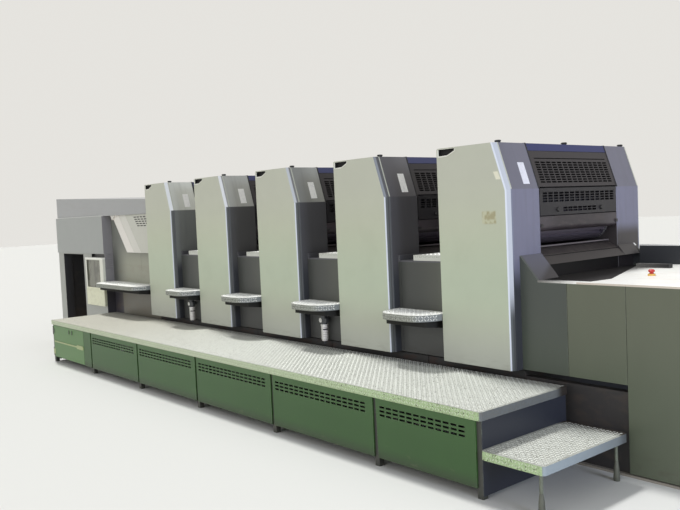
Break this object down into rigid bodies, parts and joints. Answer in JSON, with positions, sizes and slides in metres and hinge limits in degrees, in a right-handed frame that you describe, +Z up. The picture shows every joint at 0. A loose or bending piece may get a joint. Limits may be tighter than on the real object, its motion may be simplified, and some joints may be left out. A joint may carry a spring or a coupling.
{
  "type": "offset printing press",
  "caption": "Sheet-fed offset printing press: a row of printing units between feeder and delivery, with swing-up guards, steps and an operator-side walkway.",
  "frame": {"origin": "centre of the bounding box's footprint, on the floor", "axes": "+X along the press towards the feeder, +Y towards the drive side, +Z up"},
  "size_m": [10.79, 2.427, 2.067],
  "materials": {
    "unit_frame": "satin",
    "housing": "satin",
    "cover": "satin",
    "guard": "satin",
    "sloped_covers": "satin",
    "roller_guards": "satin",
    "cylinders": "satin",
    "ink_rollers": "satin",
    "unit_bases": "satin",
    "recessed_panels": "satin",
    "gallery_treads": "satin",
    "low_steps": "satin",
    "air_regulators": "satin",
    "walkway_deck": "satin",
    "walkway_frame": "satin",
    "walkway_panels": "satin",
    "walkway_door": "satin",
    "entry_step": "satin",
    "entry_step_legs": "satin",
    "infeed_hood": "satin",
    "feeder_panels": "satin",
    "feeder_base": "satin",
    "feed_board": "satin",
    "suction_head": "satin",
    "pile_boards": "satin",
    "delivery_hood": "satin",
    "delivery_side_frames": "satin",
    "delivery_rise_covers": "satin",
    "powder_cabinet": "satin"
  },
  "bodies": {
    "root": {"unit_1_frame": "unit_frame", "unit_2_frame": "unit_frame", "unit_3_frame": "unit_frame", "unit_4_frame": "unit_frame", "unit_5_frame": "unit_frame", "unit_1_housings": "housing", "unit_2_housings": "housing", "unit_3_housings": "housing", "unit_4_housings": "housing", "unit_5_housings": "housing", "unit_1_covers": "cover", "unit_2_covers": "cover", "unit_3_covers": "cover", "unit_4_covers": "cover", "unit_5_covers": "cover", "sloped_covers": "sloped_covers", "roller_guards": "roller_guards", "cylinders": "cylinders", "ink_rollers": "ink_rollers", "unit_bases": "unit_bases", "recessed_panels": "recessed_panels", "gallery_treads": "gallery_treads", "low_steps": "low_steps", "air_regulators": "air_regulators", "walkway_deck": "walkway_deck", "walkway_frame": "walkway_frame", "walkway_panels": "walkway_panels", "entry_step": "entry_step", "entry_step_legs": "entry_step_legs", "infeed_hood": "infeed_hood", "feeder_panels": "feeder_panels", "feeder_base": "feeder_base", "feed_board": "feed_board", "suction_head": "suction_head", "pile_boards": "pile_boards", "delivery_hood": "delivery_hood", "delivery_side_frames": "delivery_side_frames", "delivery_rise_covers": "delivery_rise_covers", "powder_cabinet": "powder_cabinet"},
    "unit_1_guard": {"unit_1_guard": "guard"},
    "unit_2_guard": {"unit_2_guard": "guard"},
    "unit_3_guard": {"unit_3_guard": "guard"},
    "unit_4_guard": {"unit_4_guard": "guard"},
    "unit_5_guard": {"unit_5_guard": "guard"},
    "walkway_door": {"walkway_door": "walkway_door"}
  },
  "joints": [
    {"name": "unit_1_guard_hinge", "type": "hinge", "parent": "root", "child": "unit_1_guard", "pos_m": [-1.925, 0.3975, 1.73], "axis": [0, -1, 0], "range_deg": [0, 75]},
    {"name": "unit_2_guard_hinge", "type": "hinge", "parent": "root", "child": "unit_2_guard", "pos_m": [-0.785, 0.3975, 1.73], "axis": [0, -1, 0], "range_deg": [0, 75]},
    {"name": "unit_3_guard_hinge", "type": "hinge", "parent": "root", "child": "unit_3_guard", "pos_m": [0.355, 0.3975, 1.73], "axis": [0, -1, 0], "range_deg": [0, 75]},
    {"name": "unit_4_guard_hinge", "type": "hinge", "parent": "root", "child": "unit_4_guard", "pos_m": [1.495, 0.3975, 1.73], "axis": [0, -1, 0], "range_deg": [0, 75]},
    {"name": "unit_5_guard_hinge", "type": "hinge", "parent": "root", "child": "unit_5_guard", "pos_m": [2.635, 0.3975, 1.73], "axis": [0, -1, 0], "range_deg": [0, 75]},
    {"name": "walkway_door_hinge", "type": "hinge", "parent": "root", "child": "walkway_door", "pos_m": [-3.555, -1.2035, 0.26], "axis": [0, 0, -1], "range_deg": [0, 100]}
  ]
}
